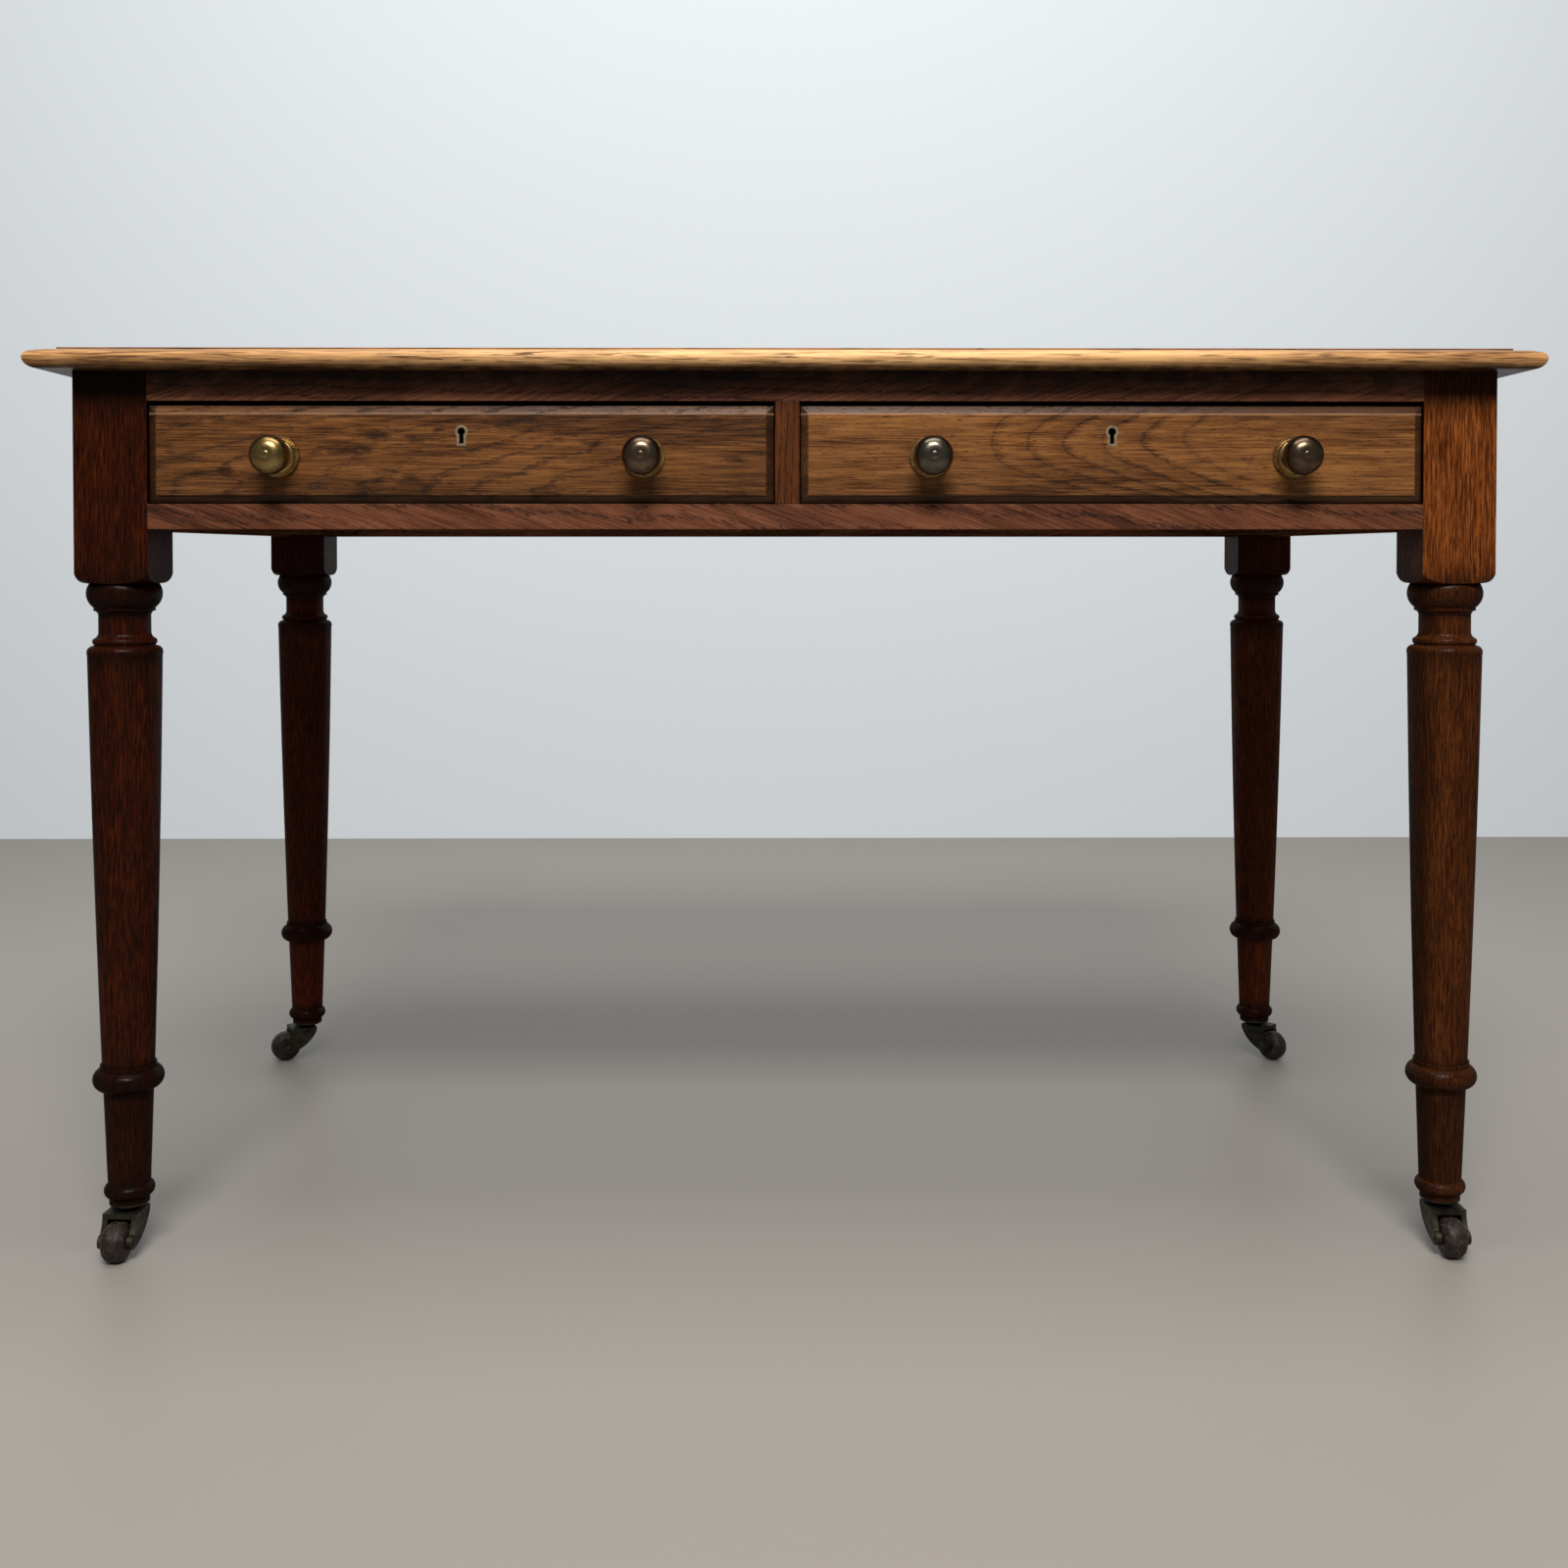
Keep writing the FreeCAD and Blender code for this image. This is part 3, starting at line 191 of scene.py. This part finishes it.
def oak(name, grain, light, middle, dark, pith=(0.0, 0.02), year=0.0033, lean=0.05, slope=0.0,
        figure=0.1, gloss=0.36, shine=0.15, slant_shine=0.0, shift=0.0, pores=1.0,
        pore_size=(0.012, 0.0008), fibre_size=(0.03, 0.0008), fibrous=0.25, fine=1.0, cloudy=0.25,
        blotch=0.0, waver=0.6, arch=None):
    """Open-grained oak: yearly rings round a pith, pores in the early wood, fibres and broad clouds.

    The grain runs along one axis. pith is its distance aside and in depth, year the width of a ring, lean
    how much the rings widen along the board, slope how far the grain runs out of it, figure how strongly
    the rings show, and shift which part of the tree the board is cut from. pore_size and fibre_size are
    the length and width of a pore and a fibre, pores and fibrous how strong they are, fine how small the
    other marks are, cloudy how strong the broad clouds are, and blotch how dark the stains are. waver is
    how far, in rings, the rings stray from a fair curve. A board sawn near the heart shows nested arches
    instead: arch is their curve and the places of the first and the last of them. The wax has its gloss,
    and it shines less at a slant: slant_shine. The pores are kept as wood.pore.
    """
    wood = Finish(name)
    here = wood.add("TexCoord", {}).outputs["Object"]
    axes = wood.add("SeparateXYZ", {0: here}).outputs
    along, side, depth = [axes[axis] for axis in grain_orders[grain]]
    drift = wood.sum("MULTIPLY", along, slope)
    board = wood.add("CombineXYZ", {0: along, 1: wood.sum("SUBTRACT", side, drift), 2: depth}).outputs[0]
    board = wood.stretch(board, (1, 1, 1), (shift, shift / 3, shift / 7))

    def marks(size, detail, shrink=1.0):
        """Noise drawn out along the grain into marks of about this length and width."""
        length, width = size
        return wood.noise(wood.stretch(board, (shrink / length, shrink / width, shrink / width)), detail)

    wander = wood.level(marks(waver_size, 3.0), 0.0, 1.0, -waver, waver)
    aside = wood.sum("POWER", wood.sum("SUBTRACT", side, pith[0]), 2.0)
    if arch is None:
        inward = wood.sum("POWER", wood.sum("SUBTRACT", depth, pith[1]), 2.0)
        outward = wood.sum("POWER", wood.sum("ADD", aside, inward), 0.5)
        radius = wood.sum("ADD", outward, wood.sum("MULTIPLY", along, lean))
    else:
        curve, first_arch, last_arch = arch
        radius = wood.sum("SUBTRACT", along, wood.sum("MULTIPLY", aside, curve))
    years = wood.sum("ADD", wood.sum("DIVIDE", radius, year), wander)
    ring = wood.sum("FRACT", years)
    early = wood.sum("MAXIMUM", wood.level(ring, 0.3, 0.04), wood.level(ring, 0.88, 1.0))
    early = wood.sum("MULTIPLY", early, wood.level(marks(ring_break_size, 2.0), 0.35, 0.6, 0.5, 1.0))
    late = wood.level(ring, 0.1, 1.0, figure / 3, -figure / 3)
    if arch is not None:
        begun = wood.level(radius, first_arch - arch_fade, first_arch, 0.2, 1.0)
        unended = wood.level(radius, last_arch + arch_fade, last_arch, 0.1, 1.0)
        present = wood.sum("MULTIPLY", begun, unended)
        early = wood.sum("MULTIPLY", early, present)
        late = wood.sum("MULTIPLY", late, present)

    speck = marks(pore_size, 1.5)
    edge = wood.level(early, 0.0, 1.0, 0.66, 0.47)
    pore = wood.level(wood.sum("SUBTRACT", speck, edge), 0.0, 0.05)
    wood.pore = pore
    fibre = marks(fibre_size, 2.0)
    streak = marks(streak_size, 3.0, fine)
    cloud = marks(cloud_size, 3.0, fine)
    shade = wood.level(cloud, 0.3, 0.7, 0.5 - cloudy, 0.5 + cloudy)
    shade = wood.sum("ADD", shade, wood.level(fibre, 0.35, 0.65, -fibrous, fibrous))
    shade = wood.sum("ADD", shade, wood.level(streak, 0.3, 0.7, -0.15, 0.15))
    shade = wood.sum("SUBTRACT", wood.sum("ADD", shade, late), wood.sum("MULTIPLY", early, figure))
    colour = wood.ramp(shade, [(0.05, dark), (0.48, middle), (0.95, light)])
    stain = wood.level(marks(stain_size, 3.0, fine), 0.58, 0.7, 0.0, blotch)
    colour = wood.blend(stain, colour, dark)
    colour = wood.blend(wood.sum("MULTIPLY", pore, 0.75 * pores), colour, pore_black)
    # Dirt and painted shade darken the creases, by ambient occlusion.
    crease_dirt_and_shade = wood.add("AmbientOcclusion", {"Distance": crease_reach}, samples=4).outputs["AO"]
    colour = wood.blend(wood.level(crease_dirt_and_shade, 0.75, 0.35, 0.0, 0.8), colour, dirt_and_shade_black)
    slant = wood.add("LayerWeight", {"Blend": 0.5}).outputs["Facing"]
    wood.set(Base_Color=colour, Specular_IOR_Level=wood.level(slant, 0.3, 0.65, shine, slant_shine))
    rough = wood.sum("ADD", wood.level(streak, 0.3, 0.7, gloss - 0.05, gloss + 0.07),
                     wood.sum("MULTIPLY", pore, 0.25))
    wood.set(Roughness=rough)
    relief = wood.sum("SUBTRACT", wood.sum("MULTIPLY", fibre, 0.3), wood.sum("MULTIPLY", pore, 0.7 * pores))
    wood.bump(relief, grain_depth)
    return wood


def cover(thing, finish):
    """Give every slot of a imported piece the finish."""
    for holder in thing.material_slots:
        holder.material = finish.material


same_point = 1e-5
real_edge = math.radians(28)


def clean_edges():
    """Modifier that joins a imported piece's split vertices and keeps only its real edges sharp."""
    group = bpy.data.node_groups.new("clean_edges", "GeometryNodeTree")
    group.interface.new_socket("Geometry", in_out="INPUT", socket_type="NodeSocketGeometry")
    group.interface.new_socket("Geometry", in_out="OUTPUT", socket_type="NodeSocketGeometry")
    entry = group.nodes.new("NodeGroupInput")
    joined = group.nodes.new("GeometryNodeMergeByDistance")
    joined.inputs["Distance"].default_value = same_point
    normals = group.nodes.new("GeometryNodeSetMeshNormal")
    normals.mode = "SHARPNESS"
    angle = group.nodes.new("GeometryNodeInputMeshEdgeAngle")
    sharp = group.nodes.new("FunctionNodeCompare")
    sharp.operation = "GREATER_THAN"
    sharp.inputs[1].default_value = real_edge
    leave = group.nodes.new("NodeGroupOutput")
    group.links.new(entry.outputs[0], joined.inputs["Geometry"])
    group.links.new(joined.outputs["Geometry"], normals.inputs["Mesh"])
    group.links.new(angle.outputs["Unsigned Angle"], sharp.inputs[0])
    group.links.new(sharp.outputs[0], normals.inputs["Edge Sharpness"])
    group.links.new(normals.outputs[0], leave.inputs[0])
    return group


edge_cleaner = clean_edges()


def soften(thing, width):
    """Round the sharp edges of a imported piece, as wear and sanding do."""
    cleaner = thing.modifiers.new("clean_edges", "NODES")
    cleaner.node_group = edge_cleaner
    rounding = thing.modifiers.new("worn_edges", "BEVEL")
    rounding.width = width
    rounding.segments = 2
    rounding.limit_method = "ANGLE"
    rounding.angle_limit = real_edge
    rounding.harden_normals = True


patch_scale = (60, 60, 60)


def lay_dirt_and_shade(wood, low, high, stops, colour, thinnest=0.7):
    """Lay dirt and painted shade over wood by height, in patches.

    Stops are pairs of a share of the way up and a strength; thinnest is the share of it left between the
    patches.
    """
    here = wood.add("TexCoord", {}).outputs["Object"]
    height = wood.level(wood.add("SeparateXYZ", {0: here}).outputs["Z"], low, high)
    strength = wood.ramp(height, [(place, (amount, amount, amount, 1)) for place, amount in stops])
    patch = wood.level(wood.noise(wood.stretch(here, patch_scale), 3.0), 0.35, 0.6, thinnest, 1.0)
    wood.lay(wood.sum("MULTIPLY", strength, patch), colour)


# Each leg has its light, middle and dark tones, then the painted shade on its block and the dirt and
# painted shade on its shaft and ankle.
leg_looks = {
    "front_left": ((tone(72, 29, 9), tone(41, 14, 4), tone(19, 6, 2)), 0.0, 0.1, 0.55),
    "front_right": ((tone(142, 79, 34), tone(96, 48, 18), tone(50, 22, 7)), 0.0, 0.65, 0.85),
    "back_left": ((tone(96, 38, 12), tone(60, 20, 6), tone(28, 9, 4)), 0.6, 0.3, 0.0),
    "back_right": ((tone(104, 46, 17), tone(66, 26, 9), tone(32, 12, 5)), 0.6, 0.2, 0.0),
}
leg_low, leg_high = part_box("front_left_leg")
leg_rounding = 0.0008
bead_soot = 0.8
shadow_of_top = 0.85
inner_side_shade = 0.6
for leg_number, (corner, (leg_tones, block_shade, shaft_dirt_and_shade, ankle_dirt_and_shade)) in enumerate(leg_looks.items()):
    leg = nodes[corner + "_leg"]
    leg_oak = oak(corner + "_leg_oak", "Z", *leg_tones, pith=(0.0, 0.12), lean=0.004, figure=0.06,
                  gloss=0.24, shine=0.05, slant_shine=0.005, shift=1.7 * leg_number, pores=0.75,
                  pore_size=(0.008, 0.0008), fibre_size=(0.016, 0.0008), fibrous=0.3, fine=3.5, cloudy=0.1)
    # From the foot up: foot ring, ankle, collar, shaft, ring, neck, bead, block and the painted shadow of
    # the top.
    lay_dirt_and_shade(leg_oak, leg_low.z, leg_high.z, [
        (0.0, bead_soot), (0.024, bead_soot), (0.04, ankle_dirt_and_shade), (0.13, ankle_dirt_and_shade), (0.145, bead_soot),
        (0.165, bead_soot), (0.18, shaft_dirt_and_shade), (0.64, shaft_dirt_and_shade), (0.665, bead_soot), (0.675, shaft_dirt_and_shade),
        (0.70, shaft_dirt_and_shade), (0.71, bead_soot), (0.745, bead_soot), (0.775, block_shade), (0.94, block_shade),
        (0.975, shadow_of_top)], dirt_and_shade_black, thinnest=0.92)
    # Painted shade on the inner side of the front right leg, chosen by the way the surface faces.
    if corner == "front_right":
        turned = leg_oak.add("TexCoord", {}).outputs["Normal"]
        inner_side = leg_oak.add("SeparateXYZ", {0: turned}).outputs["X"]
        leg_oak.lay(leg_oak.level(inner_side, -0.5, -0.9, 0.0, inner_side_shade), dirt_and_shade_black)
    cover(leg, leg_oak)
    soften(leg, leg_rounding)

# Rails and the upright between the drawers are tenoned into the leg blocks: oak as dark as the legs,
# redder on the rails, whose grain runs out to the face in short slanting flecks.
rail_tones = (tone(126, 78, 54), tone(93, 54, 35), tone(56, 28, 17))
rail_shade = [(0.0, 0.0), (0.3, 0.3), (0.75, 0.9)]
muntin_tones = (tone(96, 50, 18), tone(67, 34, 11), tone(40, 18, 6))
rail_low, rail_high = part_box("front_top_rail")
rail_rounding = 0.0007
for rail_number, (rail_name, grain, slope) in enumerate((
        ("front_top_rail", "X", 0.35), ("front_bottom_rail", "X", -0.35), ("back_rail", "X", 0.1),
        ("left_side_rail", "Y", 0.08), ("right_side_rail", "Y", -0.08))):
    rail_oak = oak(rail_name + "_oak", grain, *rail_tones, pith=(0.55, 0.1), lean=0.01, slope=slope,
                   pore_size=(0.006, 0.0007), fine=1.8, shift=0.9 + 1.3 * rail_number)
    # Painted shadow of the top's overhang darkens the upper rails towards their top edge.
    lay_dirt_and_shade(rail_oak, rail_low.z, rail_high.z, rail_shade, dirt_and_shade_black)
    cover(nodes[rail_name], rail_oak)
    soften(nodes[rail_name], rail_rounding)
muntin_oak = oak("muntin_oak", "Z", *muntin_tones, pith=(0.3, 0.1), lean=0.02, shift=4.1)
cover(nodes["centre_muntin"], muntin_oak)
soften(nodes["centre_muntin"], rail_rounding)

# Runners with guides carry the drawers, kickers above keep them level, and small stops catch their fronts.
# They are plain planed pine, browned by age, glued and housed between the rails.
pine_tones = (tone(140, 104, 66), tone(112, 78, 47), tone(80, 53, 30))
pine_rounding = 0.0005
runner_underside_shade = [(0.0, 0.85), (0.1, 0.85), (0.2, 0.0)]
for side_number, side in enumerate(("left", "centre", "right")):
    pine = oak(side + "_pine", "Y", *pine_tones, pith=(0.4, 0.5), year=0.004, lean=0.02, figure=0.35,
               gloss=0.6, shift=2.3 * side_number, pores=0.1)
    low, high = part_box(side + "_runner")
    # Painted shade darkens the lowest part of the runners.
    lay_dirt_and_shade(pine, low.z, high.z, runner_underside_shade, dirt_and_shade_black)
    for name in (side + "_runner", side + "_kicker"):
        cover(nodes[name], pine)
        soften(nodes[name], pine_rounding)
cover(nodes["drawer_stops"], oak("stop_pine", "X", *pine_tones, year=0.004, gloss=0.6, pores=0.1))

# Each drawer is a solid oak front with a bevelled border, dovetailed to thin pale linings, and its bottom
# lies in grooves. The right front was sawn near the heart, so its rings show as nested arches.
front_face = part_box("front_bottom_rail")[0].y
drawer_low, drawer_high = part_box("right_drawer_front")
drawer_middle = (drawer_low.z + drawer_high.z) / 2
front_oaks = {
    "left": oak("left_front_oak", "X", tone(134, 87, 44), tone(91, 55, 27), tone(42, 23, 12),
                pith=(drawer_middle - 0.045, 0), year=0.05, figure=0.12, pores=0.75,
                pore_size=(0.007, 0.0008), blotch=0.9, waver=1.0, shift=7.3, arch=(32.0, -0.7, -0.2)),
    "right": oak("right_front_oak", "X", tone(146, 97, 50), tone(107, 67, 34), tone(52, 30, 15),
                 pith=(drawer_middle + 0.012, 0), year=0.033, figure=0.36, pores=0.8,
                 pore_size=(0.007, 0.0008), shift=3.1, arch=(48.0, 0.17, 0.3)),
}
lining_tones = (tone(182, 150, 105), tone(156, 124, 82), tone(120, 90, 55))
border = 0.0062
border_fade = 0.0006
arris_width = 0.001
front_rounding = 0.0006
top_bevel_darkening = {"left": 0.0, "right": 0.8}
lower_darkening = {"left": 0.4, "right": 0.25}
bevel_shade_and_dirt = 0.7
arris_highlight = 0.3
bevel_brown = tone(64, 37, 21)
arris_highlight_tone = tone(196, 156, 122)
for side_number, (side, front_oak) in enumerate(front_oaks.items()):
    low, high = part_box(side + "_drawer_front")
    axes = front_oak.add("SeparateXYZ", {0: front_oak.add("TexCoord", {}).outputs["Object"]}).outputs
    from_edge = [front_oak.sum("SUBTRACT", axes["X"], low.x), front_oak.sum("SUBTRACT", high.x, axes["X"]),
                 front_oak.sum("SUBTRACT", axes["Z"], low.z), front_oak.sum("SUBTRACT", high.z, axes["Z"])]
    nearest = front_oak.sum("MINIMUM", front_oak.sum("MINIMUM", *from_edge[:2]), from_edge[2])
    # Each front is darker towards the bottom.
    lay_dirt_and_shade(front_oak, low.z, high.z, [(0.1, lower_darkening[side]), (0.25, 0.7 * lower_darkening[side]), (0.55, 0.0)],
         dirt_and_shade_black)
    # Painted shade and dirt darken the side and bottom bevels of the border.
    front_oak.lay(front_oak.level(nearest, border, border - border_fade, 0.0, bevel_shade_and_dirt), dirt_and_shade_black)
    # The right front's top bevel is darker.
    top_bevel_dark = front_oak.level(from_edge[3], border, border - border_fade, 0.0, top_bevel_darkening[side])
    front_oak.lay(top_bevel_dark, bevel_brown)
    # A painted highlight runs along the top arris of the field.
    wear_and_highlight = front_oak.sum("MULTIPLY", front_oak.level(from_edge[3], border - border_fade, border),
                           front_oak.level(from_edge[3], border + arris_width + border_fade,
                                           border + border_fade, 0.0, arris_highlight))
    front_oak.lay(wear_and_highlight, arris_highlight_tone)
    cover(nodes[side + "_drawer_front"], front_oak)
    soften(nodes[side + "_drawer_front"], front_rounding)
    side_oak = oak(side + "_side_oak", "Y", *lining_tones, pith=(0.2, 0.3), lean=0.03, gloss=0.55,
                   shift=5.0 + side_number, pores=0.7)
    across_oak = oak(side + "_back_oak", "X", *lining_tones, pith=(0.3, 0.2), lean=0.03, gloss=0.55,
                     shift=6.0 + side_number, pores=0.7)
    for name in ("_drawer_left_side", "_drawer_right_side"):
        cover(nodes[side + name], side_oak)
    for name in ("_drawer_back", "_drawer_bottom"):
        cover(nodes[side + name], across_oak)


# Knobs are turned brass: a domed ball on a neck and a stepped rose, screwed into the front. Three have gone
# dark as bronze and keep a bright rose, and the first one is rubbed to an olive gold.
metal_dirt_and_shade = tone(20, 14, 9)
metal_crease_reach = 0.004
scratch_depth = 0.00002


def metal(name, polished, tarnished, share, rough, grain=120.0):
    """Old metal: polish and tarnish in clouds, fine scratches, dirt and painted shade in the corners.

    share is how much is left polished, rough how dull the polish is, and grain how small the clouds are.
    """
    old = Finish(name)
    here = old.add("TexCoord", {}).outputs["Object"]
    cloud = old.noise(old.stretch(here, (grain, grain, grain)), 4.0)
    dull = old.level(cloud, share - 0.25, share + 0.25)
    scratch = old.noise(old.stretch(here, (grain * 14, grain * 14, grain * 1.5)), 2.0)
    colour = old.blend(dull, polished, tarnished)
    # Dirt and painted shade darken the corners, by ambient occlusion.
    crease_dirt_and_shade = old.add("AmbientOcclusion", {"Distance": metal_crease_reach}, samples=4).outputs["AO"]
    colour = old.blend(old.level(crease_dirt_and_shade, 0.7, 0.3, 0.0, 0.85), colour, metal_dirt_and_shade)
    old.set(Base_Color=colour, Metallic=1.0)
    scuffed = old.level(scratch, 0.4, 0.7, 0.0, 0.1)
    old.set(Roughness=old.sum("ADD", old.level(dull, 0.0, 1.0, rough, rough + 0.16), scuffed))
    old.bump(scratch, scratch_depth)
    return old


ball_tones = {
    "left_drawer_left_knob": (tone(160, 134, 84), tone(96, 77, 46)),
    "left_drawer_right_knob": (tone(112, 93, 76), tone(70, 56, 46)),
    "right_drawer_left_knob": (tone(108, 100, 88), tone(68, 62, 54)),
    "right_drawer_right_knob": (tone(106, 88, 70), tone(64, 52, 41)),
}
rose_back = 0.004
rose_front = 0.0095
knob_rounding = 0.0006
rose_brass = tone(176, 146, 92)
for knob_name, (polished, tarnished) in ball_tones.items():
    knob_metal = metal(knob_name + "_brass", polished, tarnished, share=0.5, rough=0.17)
    knob_here = knob_metal.add("TexCoord", {}).outputs["Object"]
    inward = knob_metal.add("SeparateXYZ", {0: knob_here}).outputs["Y"]
    rose = knob_metal.level(inward, front_face - rose_front, front_face - rose_back)
    knob_metal.lay(rose, rose_brass)
    cover(nodes[knob_name], knob_metal)
    soften(nodes[knob_name], knob_rounding)

# Locks: a pale rubbed brass escutcheon is let into each front, and behind it sits an iron lock case
# with its bolt and four screws.
escutcheon_brass = metal("escutcheon_brass", tone(190, 172, 138), tone(104, 90, 68), share=0.5, rough=0.32,
                         grain=300.0)
lock_iron = metal("lock_iron", tone(120, 114, 106), tone(70, 58, 48), share=0.46, rough=0.42)
for side in ("left", "right"):
    cover(nodes[side + "_drawer_escutcheon"], escutcheon_brass)
    for name in ("_drawer_lock_case", "_drawer_lock_bolt", "_drawer_lock_screws"):
        cover(nodes[side + name], lock_iron)

# The top is three oak boards glued edge to edge, with a thumbnail moulding worked round it. Its edge is
# worn to a pale gold round a browner waxed field, paler towards the middle as painted highlight as well as
# wear, and its underside was never polished and is darkened with painted shade, like the edge's lower
# curve. Steel screws hold it from below.
top_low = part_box("top_board_front")[0]
top_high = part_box("top_board_back")[1]
moulding_width = 0.012
stain_fade = 0.012
top_rounding = 0.0005
lit_and_leaned_middle = 0.1
lit_and_leaned_end = 0.5
streak_scale = (16, 80, 700)
top_tones = (tone(220, 172, 114), tone(176, 128, 80), tone(92, 58, 33))
worn_and_lit_gold = tone(228, 180, 122)
field_stain = tone(186, 160, 132)
underside_brown = tone(40, 25, 16)
underside_dirt_and_shade = [(0.0, 0.95), (0.06, 0.9), (0.16, 0.5), (0.35, 0.15), (0.5, 0.0)]
for board_number, board_name in enumerate(("top_board_front", "top_board_middle", "top_board_back")):
    top_oak = oak(board_name + "_oak", "X", *top_tones, pith=(0.6, 0.1 * board_number), lean=0.03,
                  figure=0.15, gloss=0.3, shine=0.12, slant_shine=0.04, blotch=0.25,
                  shift=11.0 + 2.7 * board_number, pores=0.8, pore_size=(0.025, 0.001))
    top_here = top_oak.add("TexCoord", {}).outputs["Object"]
    along, across, _ = top_oak.add("SeparateXYZ", {0: top_here}).outputs
    from_ends = top_oak.sum("MINIMUM", top_oak.sum("SUBTRACT", along, top_low.x),
                            top_oak.sum("SUBTRACT", top_high.x, along))
    from_sides = top_oak.sum("MINIMUM", top_oak.sum("SUBTRACT", across, top_low.y),
                             top_oak.sum("SUBTRACT", top_high.y, across))
    from_rim = top_oak.sum("MINIMUM", from_ends, from_sides)
    field = top_oak.level(from_rim, moulding_width, moulding_width + stain_fade)
    rim = top_oak.sum("SUBTRACT", 1.0, field)
    # Paler gold towards the middle of the edge: wear and a painted highlight.
    leaned_on_and_lit = top_oak.level(top_oak.sum("ABSOLUTE", along), lit_and_leaned_end, lit_and_leaned_middle, 0.0, 0.95)
    wear_and_highlight = top_oak.sum("MULTIPLY", rim, leaned_on_and_lit)
    worn_and_lit_patch = top_oak.level(top_oak.noise(top_oak.stretch(top_here, streak_scale), 4.0), 0.36, 0.56)
    sound = top_oak.level(top_oak.pore, 0.0, 1.0, 1.0, 0.1)
    worn_and_lit = top_oak.sum("MULTIPLY", top_oak.sum("MULTIPLY", wear_and_highlight, worn_and_lit_patch), sound)
    top_oak.lay(worn_and_lit, worn_and_lit_gold)
    top_oak.lay(field, field_stain, "MULTIPLY")
    # Painted shade darkens the edge's lower curve and the underside, over the underside's own unpolished
    # brown.
    lay_dirt_and_shade(top_oak, top_low.z, top_high.z, underside_dirt_and_shade, underside_brown)
    cover(nodes[board_name], top_oak)
    soften(nodes[board_name], top_rounding)
screw_steel = metal("screw_steel", tone(140, 136, 130), tone(84, 72, 62), share=0.5, rough=0.4)
cover(nodes["top_screws"], screw_steel)

# Castors: a bronze plate and stem let into each foot, a forked horn with a web behind the wheel that
# swivels on its pintle, and a wheel of brown composition on a riveted axle, its tread scuffed pale.
castor_rounding = 0.0005
wheel_rounding = 0.0006
wheel_cloud_scale = (160, 160, 160)
scuff_scale = (900, 300, 300)
wheel_depth = 0.0003
scuff_tone = tone(92, 77, 69)
castor_bronze = metal("castor_bronze", tone(84, 80, 68), tone(42, 40, 34), share=0.42, rough=0.42)
wheel_finish = Finish("brown_wheel")
wheel_here = wheel_finish.add("TexCoord", {}).outputs["Object"]
wheel_cloud = wheel_finish.noise(wheel_finish.stretch(wheel_here, wheel_cloud_scale), 4.0)
wheel_scuff = wheel_finish.noise(wheel_finish.stretch(wheel_here, scuff_scale), 3.0)
wheel_browns = [(0.3, tone(19, 13, 11)), (0.55, tone(34, 25, 22)), (0.75, tone(58, 44, 39))]
wheel_colour = wheel_finish.ramp(wheel_cloud, wheel_browns)
scuffed = wheel_finish.level(wheel_scuff, 0.58, 0.66, 0.0, 0.6)
wheel_colour = wheel_finish.blend(scuffed, wheel_colour, scuff_tone)
wheel_finish.set(Base_Color=wheel_colour, Specular_IOR_Level=0.25,
                 Roughness=wheel_finish.level(wheel_cloud, 0.3, 0.7, 0.38, 0.6))
wheel_finish.bump(wheel_finish.sum("ADD", wheel_cloud, wheel_scuff), wheel_depth)
for corner in leg_looks:
    for name in ("_castor_plate", "_castor_horn", "_castor_axle"):
        cover(nodes[corner + name], castor_bronze)
        soften(nodes[corner + name], castor_rounding)
    cover(nodes[corner + "_castor_wheel"], wheel_finish)
    soften(nodes[corner + "_castor_wheel"], wheel_rounding)
